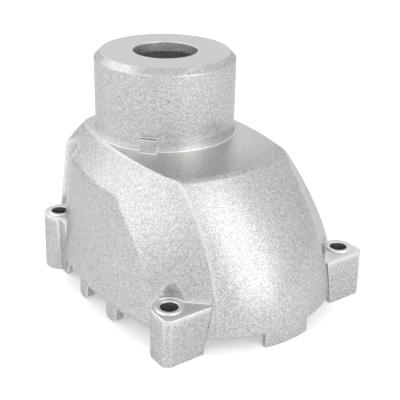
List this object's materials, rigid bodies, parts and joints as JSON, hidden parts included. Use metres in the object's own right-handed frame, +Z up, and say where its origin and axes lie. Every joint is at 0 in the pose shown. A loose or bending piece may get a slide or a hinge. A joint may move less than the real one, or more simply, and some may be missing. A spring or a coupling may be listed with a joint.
{
  "type": "gearbox_housing",
  "caption": "Die-cast aluminium gearbox housing of a hand-held drill: 43 mm clamping collar on a domed, faceted hollow body with corner screw bosses.",
  "frame": {"origin": "Centre of the four-screw square, on the joint face where the bosses meet the motor housing (z = 0).", "axes": "+Z up along the collar axis towards the spindle end, -Y towards the domed front, X across the body; the body is mirror-symmetric about x = 0."},
  "size_m": [0.0742, 0.0895, 0.069],
  "materials": {
    "cast_aluminium": "bead-blasted die casting, satin"
  },
  "bodies": {
    "root": {"gearbox_housing": "cast_aluminium"}
  },
  "joints": []
}
